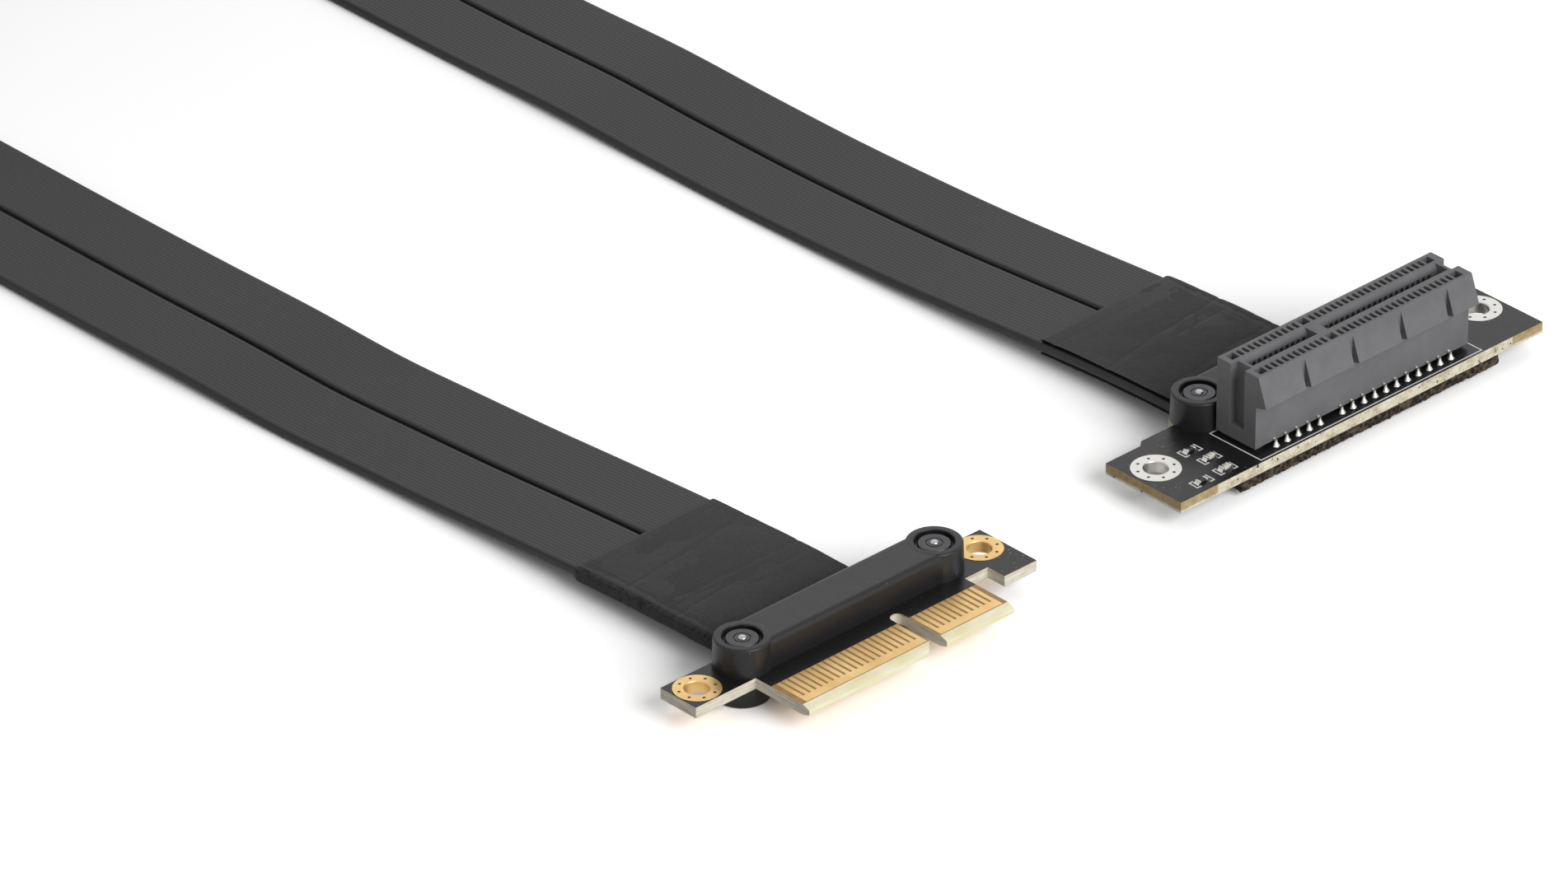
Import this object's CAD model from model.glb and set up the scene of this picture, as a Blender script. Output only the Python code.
import math
import bmesh
import bpy
from mathutils import Matrix, Vector, noise
from mathutils.geometry import tessellate_polygon


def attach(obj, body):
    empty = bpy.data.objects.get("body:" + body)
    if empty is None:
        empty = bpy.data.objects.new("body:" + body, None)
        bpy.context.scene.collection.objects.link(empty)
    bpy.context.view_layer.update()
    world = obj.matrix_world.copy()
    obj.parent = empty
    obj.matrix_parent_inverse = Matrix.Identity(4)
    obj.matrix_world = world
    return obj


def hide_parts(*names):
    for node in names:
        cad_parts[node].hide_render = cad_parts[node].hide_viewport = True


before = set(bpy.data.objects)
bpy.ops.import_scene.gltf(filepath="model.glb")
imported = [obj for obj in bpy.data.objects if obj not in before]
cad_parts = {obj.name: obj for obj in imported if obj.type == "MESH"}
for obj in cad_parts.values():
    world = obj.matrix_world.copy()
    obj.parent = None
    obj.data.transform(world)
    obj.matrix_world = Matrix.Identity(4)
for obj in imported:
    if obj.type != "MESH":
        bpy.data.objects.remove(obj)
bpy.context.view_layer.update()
mm = 0.001  # sizes below are in millimetres unless a name says otherwise
print("stage: frame loaded")

# where the boards lie: tip of the card edge and front left corner of the slot board
boardSizes = {"bottom": 2.8, "top": 4.4, "maskDepth": 0.035}
edgeTip = Vector((10.2, -61.95))
slotCorner = Vector((7.0, 5.85))


def makeCamera(settings):
    turn, rise = math.radians(settings["azimuth"]), math.radians(settings["elevation"])
    ahead = Vector((-math.sin(turn) * math.cos(rise), math.cos(turn) * math.cos(rise), -math.sin(rise)))
    data = bpy.data.cameras.new("photoCamera")
    data.lens = settings["lens"]
    data.sensor_width = settings["sensor"]
    data.clip_start, data.clip_end = settings["clip"]
    camera = bpy.data.objects.new("photoCamera", data)
    bpy.context.scene.collection.objects.link(camera)
    camera.location = (Vector(settings["lookAt"]) - ahead * settings["distance"]) * mm
    camera.rotation_mode = "QUATERNION"
    camera.rotation_quaternion = ahead.to_track_quat("-Z", "Y")
    bpy.context.scene.camera = camera


makeCamera({
    "lookAt": (-39.26, -19.36, 2.8),
    "azimuth": 46.53,
    "elevation": 30.715,
    "distance": 1574.8,
    "lens": 283.77,
    "sensor": 36,
    "clip": (0.1, 20),
})
print("stage: camera set")


# finishes

def shade(*levels):
    # screen values 0 to 255 to the linear colour that a shader takes
    if len(levels) == 1:
        levels = levels * 3
    parts = [level / 255 for level in levels]
    return tuple(part / 12.92 if part <= 0.04045 else ((part + 0.055) / 1.055) ** 2.4 for part in parts)


def startLook(name, colour, roughness, metallic=0.0, specular=0.5):
    look = bpy.data.materials.new(name)
    look.use_nodes = True
    tree = look.node_tree
    shader = tree.nodes["Principled BSDF"]
    shader.inputs["Base Color"].default_value = (*colour, 1)
    shader.inputs["Roughness"].default_value = roughness
    shader.inputs["Metallic"].default_value = metallic
    shader.inputs["Specular IOR Level"].default_value = specular
    coords = tree.nodes.new("ShaderNodeTexCoord")
    return look, tree, shader, coords


def stretched(tree, source, scale):
    mapping = tree.nodes.new("ShaderNodeMapping")
    mapping.inputs["Scale"].default_value = scale
    tree.links.new(source, mapping.inputs["Vector"])
    return mapping.outputs["Vector"]


def noiseField(tree, source, scale, detail=2.0, roughness=0.5):
    node = tree.nodes.new("ShaderNodeTexNoise")
    node.inputs["Scale"].default_value = scale
    node.inputs["Detail"].default_value = detail
    node.inputs["Roughness"].default_value = roughness
    tree.links.new(source, node.inputs["Vector"])
    return node.outputs["Fac"]


def ramp(tree, source, stops):
    node = tree.nodes.new("ShaderNodeValToRGB")
    points = node.color_ramp.elements
    while len(points) < len(stops):
        points.new(0.5)
    for point, (place, colour) in zip(points, stops):
        point.position = place
        point.color = (*colour, 1)
    tree.links.new(source, node.inputs["Fac"])
    return node.outputs["Color"]


def spread(tree, source, low, high):
    node = tree.nodes.new("ShaderNodeMapRange")
    node.inputs["To Min"].default_value = low
    node.inputs["To Max"].default_value = high
    tree.links.new(source, node.inputs["Value"])
    return node.outputs["Result"]


def calculate(tree, operation, first, second):
    node = tree.nodes.new("ShaderNodeMath")
    node.operation = operation
    for socket, value in zip(node.inputs, (first, second)):
        if isinstance(value, (int, float)):
            socket.default_value = value
        else:
            tree.links.new(value, socket)
    return node.outputs["Value"]


def mixColours(tree, share, first, second):
    node = tree.nodes.new("ShaderNodeMix")
    node.data_type = "RGBA"
    tree.links.new(share, node.inputs["Factor"])
    for socket, value in ((node.inputs[6], first), (node.inputs[7], second)):
        if isinstance(value, tuple):
            socket.default_value = (*value, 1)
        else:
            tree.links.new(value, socket)
    return node.outputs[2]


def bump(tree, shader, height, strength, depth):
    node = tree.nodes.new("ShaderNodeBump")
    node.inputs["Strength"].default_value = strength
    node.inputs["Distance"].default_value = depth * mm
    tree.links.new(height, node.inputs["Height"])
    tree.links.new(node.outputs["Normal"], shader.inputs["Normal"])


def dustSpecks(tree, source, scale, limit):
    # small bright grains, sparse and uneven
    cells = tree.nodes.new("ShaderNodeTexVoronoi")
    cells.inputs["Scale"].default_value = scale
    tree.links.new(source, cells.inputs["Vector"])
    patchSize = 9
    patchy = calculate(tree, "SUBTRACT", noiseField(tree, source, scale / patchSize, 1), 0.5)
    reach = calculate(tree, "MULTIPLY", calculate(tree, "MAXIMUM", patchy, 0.0), limit)
    return calculate(tree, "LESS_THAN", cells.outputs["Distance"], reach)


def weighted(tree, first, second, share):
    # a sum of two fields, the first with this share
    return calculate(
        tree, "ADD", calculate(tree, "MULTIPLY", first, share),
        calculate(tree, "MULTIPLY", second, 1 - share),
    )


def paint(tree, shader, colour):
    tree.links.new(colour, shader.inputs["Base Color"])


def roughen(tree, shader, field, low, high):
    tree.links.new(spread(tree, field, low, high), shader.inputs["Roughness"])


def makeGrainedLook(settings):
    # one plain colour whose tone, dust, gloss and surface vary with fine noise, each given as
    # its noise's scale and detail, then its two ends
    look, tree, shader, coords = startLook(
        settings["name"], settings["colour"], settings["roughness"],
        settings.get("metallic", 0.0), settings.get("specular", 0.5),
    )
    source = coords.outputs["Object"]
    if "stretch" in settings:
        source = stretched(tree, source, settings["stretch"])
    if "tone" in settings:
        grain, *stops = settings["tone"]
        paint(tree, shader, ramp(tree, noiseField(tree, source, *grain), stops))
    if "dust" in settings:
        scale, limit, tone = settings["dust"]
        specks = dustSpecks(tree, source, scale, limit)
        paint(tree, shader, mixColours(tree, specks, settings["colour"], tone))
    if "gloss" in settings:
        grain, low, high = settings["gloss"]
        roughen(tree, shader, noiseField(tree, source, *grain), low, high)
    if "dents" in settings:
        grain, strength, depth = settings["dents"]
        bump(tree, shader, noiseField(tree, source, *grain), strength, depth)
    return look


def makeLaminateLook():
    # pale edge of the board: fine layers of glass cloth and a darker line between them
    look, tree, shader, coords = startLook("glassFibreEdge", shade(228, 222, 205), 0.7)
    source = coords.outputs["Object"]
    layers = noiseField(tree, stretched(tree, source, (160, 160, 3800)), 1, 3, 0.6)
    threads = noiseField(tree, stretched(tree, source, (900, 900, 2600)), 1, 2)
    mixed = weighted(tree, layers, threads, 0.65)
    paint(tree, shader, ramp(tree, mixed, [
        (0.3, shade(168, 156, 132)), (0.45, shade(214, 206, 186)), (0.7, shade(240, 236, 224)),
    ]))
    bump(tree, shader, mixed, 0.5, 0.05)
    return look


def makeSlotEdgeLook():
    # rough cream edge with an olive stretch at each end of the board, above a cream line
    look, tree, shader, coords = startLook("slotBoardEdge", shade(226, 220, 200), 0.75)
    source = coords.outputs["Object"]
    stretches = {"left": 12.5, "right": 66.4, "lowerLine": 3.15}
    rough = noiseField(tree, stretched(tree, source, (500, 700, 900)), 1, 4, 0.7)
    flecks = noiseField(tree, stretched(tree, source, (900, 1400, 1400)), 1, 2)
    cream = ramp(tree, rough, [
        (0.3, shade(172, 160, 132)), (0.5, shade(216, 208, 184)), (0.7, shade(236, 230, 212)),
    ])
    cream = mixColours(tree, calculate(tree, "GREATER_THAN", flecks, 0.68), cream, shade(70, 58, 44))
    olive = ramp(tree, rough, [(0.3, shade(142, 122, 84)), (0.7, shade(192, 170, 126))])
    axes = tree.nodes.new("ShaderNodeSeparateXYZ")
    tree.links.new(source, axes.inputs["Vector"])
    ends = calculate(
        tree, "ADD", calculate(tree, "LESS_THAN", axes.outputs["Y"], stretches["left"] * mm),
        calculate(tree, "GREATER_THAN", axes.outputs["Y"], stretches["right"] * mm),
    )
    above = calculate(tree, "GREATER_THAN", axes.outputs["Z"], stretches["lowerLine"] * mm)
    paint(tree, shader, mixColours(tree, calculate(tree, "MULTIPLY", ends, above), cream, olive))
    bump(tree, shader, rough, 0.8, 0.08)
    return look


def makeRibbonLook():
    # the map runs along the ribbon in U and across it in V, in metres
    look, tree, shader, coords = startLook("ribbonJacket", shade(43), 0.46, specular=0.22)
    source = coords.outputs["UV"]
    streaks = noiseField(tree, stretched(tree, source, (30, 1800, 1)), 1, 3, 0.6)
    broad = noiseField(tree, stretched(tree, source, (12, 260, 1)), 1, 2)
    mixed = weighted(tree, streaks, broad, 0.6)
    paint(tree, shader, ramp(tree, mixed, [(0.3, shade(36, 36, 37)), (0.7, shade(49, 49, 50))]))
    roughen(tree, shader, mixed, 0.34, 0.52)
    bump(tree, shader, streaks, 0.3, 0.03)
    return look


def makeTapeLook():
    # threads both ways, about 0.3 mm apart, with loose fuzz over them
    look, tree, shader, coords = startLook("clothTape", shade(52, 50, 51), 0.92, specular=0.25)
    shader.inputs["Sheen Weight"].default_value = 0.15
    source = coords.outputs["UV"]
    rows = []
    for direction, scale in (("X", 1080), ("Y", 1190)):
        wave = tree.nodes.new("ShaderNodeTexWave")
        wave.bands_direction = direction
        wave.inputs["Scale"].default_value = scale
        wave.inputs["Distortion"].default_value = 0.6
        wave.inputs["Detail"].default_value = 1
        tree.links.new(source, wave.inputs["Vector"])
        rows.append(wave.outputs["Fac"])
    mixed = weighted(tree, calculate(tree, "MULTIPLY", *rows), noiseField(tree, source, 2600, 3, 0.7), 0.5)
    paint(tree, shader, ramp(tree, mixed, [
        (0.2, shade(40, 39, 40)), (0.6, shade(62, 60, 61)), (0.85, shade(84, 82, 82)),
    ]))
    bump(tree, shader, mixed, 0.6, 0.06)
    return look


def makeFoamLook():
    look, tree, shader, coords = startLook("porousFoam", shade(44, 37, 31), 0.95, specular=0.2)
    source = coords.outputs["Object"]
    cells = tree.nodes.new("ShaderNodeTexVoronoi")
    cells.inputs["Scale"].default_value = 1700
    tree.links.new(source, cells.inputs["Vector"])
    paint(tree, shader, ramp(tree, cells.outputs["Distance"], [
        (0.1, shade(16, 13, 11)), (0.45, shade(50, 42, 35)), (0.8, shade(92, 80, 68)),
    ]))
    bump(tree, shader, cells.outputs["Distance"], 1.0, 0.25)
    return look


grainedLooks = {
    "mask": {
        "name": "solderMask", "colour": shade(22, 22, 23), "roughness": 0.3, "specular": 0.3,
        "dust": (1600, 0.9, shade(120)), "gloss": ((300, 3), 0.24, 0.4), "dents": ((900, 2), 0.25, 0.02),
    },
    "bare": {
        "name": "bareLaminate", "colour": shade(156, 118, 70), "roughness": 0.5,
        "tone": ((700, 3), (0.3, shade(144, 106, 62)), (0.7, shade(168, 130, 80))),
    },
    "bevel": {
        "name": "bevelledLaminate", "colour": shade(230, 210, 130), "roughness": 0.55,
        "stretch": (500, 160, 1500),
        "tone": ((1, 3), (0.3, shade(232, 222, 176)), (0.7, shade(248, 243, 216))),
    },
    "gold": {
        "name": "goldPlating", "colour": shade(236, 196, 122), "roughness": 0.42, "metallic": 1.0,
        "tone": ((260, 2), (0.3, shade(210, 176, 116)), (0.7, shade(224, 192, 136))),
        "gloss": ((1200, 3), 0.34, 0.52),
    },
    "tin": {
        "name": "tinPlating", "colour": shade(198, 196, 192), "roughness": 0.3, "metallic": 1.0,
        "gloss": ((700, 3), 0.16, 0.4), "dents": ((500, 2), 0.3, 0.03),
    },
    "clamp": {
        "name": "clampPlastic", "colour": shade(27, 27, 28), "roughness": 0.34, "specular": 0.32,
        "dust": (1500, 0.5, shade(110)), "gloss": ((420, 3), 0.3, 0.44), "dents": ((2200, 2), 0.15, 0.01),
    },
    "rivet": {
        "name": "rivetMetal", "colour": shade(70, 70, 72), "roughness": 0.34, "metallic": 1.0,
        "gloss": ((1500, 2), 0.26, 0.42),
    },
    "pin": {
        "name": "rivetPin", "colour": shade(170, 170, 172), "roughness": 0.22, "metallic": 1.0,
        "gloss": ((1500, 2), 0.16, 0.3),
    },
    "housing": {
        "name": "mouldedHousing", "colour": shade(100, 100, 102), "roughness": 0.6,
        "tone": ((240, 4, 0.6), (0.3, shade(94, 94, 96)), (0.7, shade(106, 106, 108))),
        "gloss": ((800, 2), 0.5, 0.66), "dents": ((3200, 2), 0.2, 0.01),
    },
    "copper": {
        "name": "copperWire", "colour": shade(196, 132, 92), "roughness": 0.35, "metallic": 1.0,
        "gloss": ((900, 2), 0.28, 0.42),
    },
    "contact": {
        "name": "springContact", "colour": shade(150, 146, 138), "roughness": 0.3, "metallic": 1.0,
        "gloss": ((900, 2), 0.24, 0.36),
    },
    "ink": {"name": "whiteInk", "colour": shade(222), "roughness": 0.6, "gloss": ((900, 2), 0.48, 0.72)},
    "via": {
        "name": "viaFill", "colour": shade(40, 34, 26), "roughness": 0.6, "gloss": ((900, 2), 0.48, 0.72),
    },
    "chipBody": {
        "name": "chipBody", "colour": shade(36, 36, 38), "roughness": 0.4, "gloss": ((900, 2), 0.32, 0.48),
    },
    "lampBody": {
        "name": "lampBody", "colour": shade(206, 204, 188), "roughness": 0.35,
        "gloss": ((900, 2), 0.28, 0.42),
    },
}

looks = {key: makeGrainedLook(settings) for key, settings in grainedLooks.items()}
looks["laminate"] = makeLaminateLook()
looks["slotEdge"] = makeSlotEdgeLook()
looks["ribbon"] = makeRibbonLook()
looks["tape"] = makeTapeLook()
looks["foam"] = makeFoamLook()
print("stage: finishes made")


# making and finishing pieces

def toMesh(draft, name):
    bmesh.ops.remove_doubles(draft, verts=draft.verts, dist=0.0005)
    bmesh.ops.recalc_face_normals(draft, faces=draft.faces)
    mesh = bpy.data.meshes.new(name)
    draft.to_mesh(mesh)
    draft.free()
    mesh.transform(Matrix.Scale(mm, 4))
    return mesh


def placeMesh(name, mesh):
    piece = bpy.data.objects.new(name, mesh)
    bpy.context.scene.collection.objects.link(piece)
    return piece


def bake(piece):
    # the evaluated result becomes a plain mesh
    graph = bpy.context.evaluated_depsgraph_get()
    result = piece.evaluated_get(graph)
    mesh = bpy.data.meshes.new_from_object(result, preserve_all_data_layers=True, depsgraph=graph)
    piece.modifiers.clear()
    spent = piece.data
    piece.data = mesh
    bpy.data.meshes.remove(spent)


def combine(piece, tool, operation):
    cut = piece.modifiers.new("cut", "BOOLEAN")
    cut.operation = operation
    cut.solver = "EXACT"
    cut.object = tool
    bake(piece)
    spent = tool.data
    bpy.data.objects.remove(tool)
    bpy.data.meshes.remove(spent)


def easeEdges(piece, width, steps=2, angle=35):
    tidy = bmesh.new()
    tidy.from_mesh(piece.data)
    bmesh.ops.remove_doubles(tidy, verts=tidy.verts, dist=1e-6)
    bmesh.ops.dissolve_limit(
        tidy, angle_limit=math.radians(0.5), verts=tidy.verts, edges=tidy.edges, delimit={"MATERIAL"},
    )
    tidy.to_mesh(piece.data)
    tidy.free()
    ease = piece.modifiers.new("ease", "BEVEL")
    ease.width = width * mm
    ease.segments = steps
    ease.limit_method = "ANGLE"
    ease.angle_limit = math.radians(angle)
    ease.use_clamp_overlap = True
    piece.data.shade_smooth()
    ease.harden_normals = True
    bake(piece)


def smoothShade(piece, angle=35):
    piece.data.shade_smooth()
    piece.data.set_sharp_from_angle(angle=math.radians(angle))


def finishPiece(piece, slotName, *nodes):
    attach(piece, "root")
    if nodes:
        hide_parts(*nodes)
    return piece


def addBox(draft, low, high):
    low, high = Vector(low), Vector(high)
    size = Matrix.Diagonal((*(high - low), 1))
    return bmesh.ops.create_cube(draft, size=1, matrix=Matrix.Translation((low + high) / 2) @ size)


def addPrism(draft, outline, holes, bottom, top):
    loops = [[Vector((x, y, 0)) for x, y in loop] for loop in (outline, *holes)]
    flat = [corner for loop in loops for corner in loop]
    under = [draft.verts.new((corner.x, corner.y, bottom)) for corner in flat]
    over = [draft.verts.new((corner.x, corner.y, top)) for corner in flat]
    for a, b, c in tessellate_polygon(loops):
        draft.faces.new((over[a], over[b], over[c]))
        draft.faces.new((under[c], under[b], under[a]))
    first = 0
    for loop in loops:
        count = len(loop)
        for i in range(count):
            a, b = first + i, first + (i + 1) % count
            draft.faces.new((under[a], under[b], over[b], over[a]))
        first += count


def addBar(draft, section, start, end):
    # a section in X and Z carried along Y
    near = [draft.verts.new((x, start, z)) for x, z in section]
    far = [draft.verts.new((x, end, z)) for x, z in section]
    draft.faces.new(near)
    draft.faces.new(far[::-1])
    for i in range(len(section)):
        j = (i + 1) % len(section)
        draft.faces.new((near[i], far[i], far[j], near[j]))


def addTurned(draft, profile, centre, segments, closed=False):
    # a profile of radius and height, turned about an upright axis
    rings = []
    for radius, height in profile:
        if radius < 1e-6:
            rings.append([draft.verts.new((centre[0], centre[1], height))] * segments)
            continue
        rings.append([
            draft.verts.new((
                centre[0] + radius * math.cos(2 * math.pi * i / segments),
                centre[1] + radius * math.sin(2 * math.pi * i / segments),
                height,
            ))
            for i in range(segments)
        ])
    pairs = list(zip(rings, rings[1:])) + ([(rings[-1], rings[0])] if closed else [])
    for lower, upper in pairs:
        for i in range(segments):
            j = (i + 1) % segments
            corners = []
            for corner in (lower[i], lower[j], upper[j], upper[i]):
                if corner not in corners:
                    corners.append(corner)
            if len(corners) > 2:
                draft.faces.new(corners)


def roundCorner(centre, radius, start, end, steps):
    # points of an arc, angles in degrees
    return [
        (
            centre[0] + radius * math.cos(math.radians(start + (end - start) * i / steps)),
            centre[1] + radius * math.sin(math.radians(start + (end - start) * i / steps)),
        )
        for i in range(steps + 1)
    ]


def circle(centre, radius, steps):
    return roundCorner(centre, radius, 0, 360 * (steps - 1) / steps, steps - 1)


# node trees for what repeats

def startTree(name, inputs):
    tree = bpy.data.node_groups.new(name, "GeometryNodeTree")
    tree.interface.new_socket("Geometry", in_out="OUTPUT", socket_type="NodeSocketGeometry")
    for label, kind in inputs:
        tree.interface.new_socket(label, in_out="INPUT", socket_type="NodeSocket" + kind)
    return tree, tree.nodes.new("NodeGroupInput").outputs, tree.nodes.new("NodeGroupOutput")


def endTree(tree, instances, given, group):
    real = tree.nodes.new("GeometryNodeRealizeInstances")
    paint = tree.nodes.new("GeometryNodeSetMaterial")
    tree.links.new(instances, real.inputs["Geometry"])
    tree.links.new(real.outputs["Geometry"], paint.inputs["Geometry"])
    tree.links.new(given["Finish"], paint.inputs["Material"])
    tree.links.new(paint.outputs["Geometry"], group.inputs["Geometry"])
    return tree


def copiesOnPoints(tree, points, given, turn=None):
    source = tree.nodes.new("GeometryNodeObjectInfo")
    source.inputs["As Instance"].default_value = True
    copies = tree.nodes.new("GeometryNodeInstanceOnPoints")
    tree.links.new(given["Pattern"], source.inputs["Object"])
    tree.links.new(points, copies.inputs["Points"])
    tree.links.new(source.outputs["Geometry"], copies.inputs["Instance"])
    if turn is not None:
        tree.links.new(turn, copies.inputs["Rotation"])
    return copies.outputs["Instances"]


def makeRowTree():
    # copies of a pattern in a straight row
    tree, given, group = startTree("rowOfCopies", [
        ("Pattern", "Object"), ("Count", "Int"), ("Start", "Vector"), ("Step", "Vector"),
        ("Finish", "Material"),
    ])
    line = tree.nodes.new("GeometryNodeMeshLine")
    line.mode = "OFFSET"
    for label, socket in (("Count", "Count"), ("Start", "Start Location"), ("Step", "Offset")):
        tree.links.new(given[label], line.inputs[socket])
    return endTree(tree, copiesOnPoints(tree, line.outputs["Mesh"], given), given, group)


def makeRingTree():
    # copies of a pattern round a circle
    tree, given, group = startTree("ringOfCopies", [
        ("Pattern", "Object"), ("Count", "Int"), ("Centre", "Vector"), ("Radius", "Float"),
        ("Start Angle", "Float"), ("Finish", "Material"),
    ])
    ring = tree.nodes.new("GeometryNodeMeshCircle")
    turn = tree.nodes.new("ShaderNodeCombineXYZ")
    move = tree.nodes.new("GeometryNodeTransform")
    tree.links.new(given["Count"], ring.inputs["Vertices"])
    tree.links.new(given["Radius"], ring.inputs["Radius"])
    tree.links.new(given["Start Angle"], turn.inputs["Z"])
    tree.links.new(ring.outputs["Mesh"], move.inputs["Geometry"])
    tree.links.new(given["Centre"], move.inputs["Translation"])
    tree.links.new(turn.outputs["Vector"], move.inputs["Rotation"])
    return endTree(tree, copiesOnPoints(tree, move.outputs["Geometry"], given), given, group)


rowTree = makeRowTree()
ringTree = makeRingTree()


def grow(name, tree, values):
    piece = placeMesh(name, bpy.data.meshes.new(name))
    modifier = piece.modifiers.new(name, "NODES")
    modifier.node_group = tree
    for item in tree.interface.items_tree:
        if item.in_out == "INPUT":
            modifier[item.identifier] = values[item.name]
    bake(piece)
    return piece


def toMetres(*numbers):
    return tuple(number * mm for number in numbers)


def discard(*objs):
    for obj in objs:
        spent = obj.data
        bpy.data.objects.remove(obj)
        bpy.data.meshes.remove(spent)


def join(first, *others):
    # the others' faces and finishes are added to the first
    draft = bmesh.new()
    finishes = []
    for obj in (first, *others):
        slots = []
        for finish in obj.data.materials:
            if finish not in finishes:
                finishes.append(finish)
            slots.append(finishes.index(finish))
        before = len(draft.faces)
        draft.from_mesh(obj.data)
        draft.faces.ensure_lookup_table()
        for face in draft.faces[before:]:
            face.material_index = slots[face.material_index] if slots else 0
    first.data.materials.clear()
    for finish in finishes:
        first.data.materials.append(finish)
    draft.to_mesh(first.data)
    draft.free()
    discard(*others)
    return first


# the cable: both ribbons and their tape follow one route

cableSettings = {
    "edgeStart": (-6.1, -47.35, 3.6),
    "slotEnd": (-9.5, 34.25, 3.6),
    "straightRun": 5.0,
    "points": [
        (-24.6, -47.4, 3.3), (-34.9, -47.5, 2.9), (-48.6, -47.8, 2.2), (-62.6, -48.3, 1.55),
        (-76.6, -48.8, 1.1), (-90.6, -49.4, 0.85), (-108.6, -49.9, 1.3), (-126.6, -50, 1.0),
        (-146.6, -50, 0.8), (-172.6, -50, 0.75), (-207.6, -50, 0.75), (-241.6, -50, 0.75),
        (-262.3, -44.4, 0.75), (-277.5, -29.3, 0.75), (-283, -8.6, 0.75), (-277.5, 12.1, 0.75),
        (-262.3, 27.3, 0.75), (-241.6, 32.8, 0.75), (-207.6, 32.8, 0.75), (-172.6, 32.8, 0.75),
        (-146.6, 32.8, 0.8), (-126.6, 32.8, 1.25), (-109.6, 32.8, 0.95), (-92.6, 32.8, 0.85),
        (-76.6, 32.95, 1.1), (-62.6, 33.2, 1.5), (-48.6, 33.6, 2.15), (-35.4, 34, 2.85),
        (-25.6, 34.2, 3.3),
    ],
    "stepsPerSpan": 24,
    "turnStart": 165,
    "turnEnd": 237,
    "ribbonWidth": 11.7,
    "ribbonThickness": 1.3,
    "slitWidth": 0.6,
}


def routeLine(settings):
    # a centripetal curve through the points, as close steps
    start, end = Vector(settings["edgeStart"]), Vector(settings["slotEnd"])
    run = Vector((-settings["straightRun"], 0, 0))
    points = [start, start + run, *[Vector(point) for point in settings["points"]], end + run, end]
    points = [points[0] * 2 - points[1], *points, points[-1] * 2 - points[-2]]
    line = []
    for i in range(1, len(points) - 2):
        a, b, c, d = points[i - 1:i + 3]
        gaps = [math.sqrt((q - p).length) for p, q in ((a, b), (b, c), (c, d))]
        leave = ((b - a) / gaps[0] - (c - a) / (gaps[0] + gaps[1]) + (c - b) / gaps[1]) * gaps[1]
        arrive = ((c - b) / gaps[1] - (d - b) / (gaps[1] + gaps[2]) + (d - c) / gaps[2]) * gaps[1]
        for step in range(settings["stepsPerSpan"]):
            t = step / settings["stepsPerSpan"]
            square = (c - b) * 3 - leave * 2 - arrive
            cube = (b - c) * 2 + leave + arrive
            line.append(b + leave * t + square * t ** 2 + cube * t ** 3)
    return [*line, end]


class CableRoute:
    def __init__(self, settings):
        self.settings = settings
        self.line = routeLine(settings)
        self.distances = [0.0]
        for p, q in zip(self.line, self.line[1:]):
            self.distances.append(self.distances[-1] + (q - p).length)
        self.length = self.distances[-1]

    def pointAt(self, distance):
        distance = min(max(distance, 0.0), self.length)
        low, high = 0, len(self.distances) - 1
        while high - low > 1:
            middle = (low + high) // 2
            if self.distances[middle] <= distance:
                low = middle
            else:
                high = middle
        share = (distance - self.distances[low]) / (self.distances[high] - self.distances[low])
        return self.line[low].lerp(self.line[high], share)

    def frameAt(self, distance):
        # middle of the cable, its width direction and the way up from its flat face
        settings = self.settings
        reach = 0.5
        tangent = (self.pointAt(distance + reach) - self.pointAt(distance - reach)).normalized()
        fromEnd = min(distance, self.length - distance)
        t = min(max((fromEnd - settings["turnStart"]) / (settings["turnEnd"] - settings["turnStart"]), 0), 1)
        turn = t ** 3 * (t * (t * 6 - 15) + 10) * math.pi / 2
        level = Vector((0, 0, 1)).cross(tangent).normalized()
        upright = tangent.cross(level)
        across = level * math.cos(turn) - upright * math.sin(turn)
        middle = self.pointAt(distance)
        pairWidth = settings["ribbonWidth"] * 2 + settings["slitWidth"]
        middle.z += pairWidth / 2 * math.sin(turn) - settings["ribbonThickness"] / 2 * (1 - math.cos(turn))
        return middle, across, tangent


cableRoute = CableRoute(cableSettings)


def lineAlong(sideways, start, end, count):
    distances = [start + (end - start) * i / (count - 1) for i in range(count)]
    line = []
    for distance in distances:
        middle, across, tangent = cableRoute.frameAt(distance)
        line.append((middle + across * sideways, across))
    frames = []
    for i, (centre, across) in enumerate(line):
        ahead = line[min(i + 1, count - 1)][0] - line[max(i - 1, 0)][0]
        tangent = ahead.normalized()
        width = (across - tangent * across.dot(tangent)).normalized()
        frames.append((distances[i], centre, width, tangent.cross(width)))
    return frames


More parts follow.
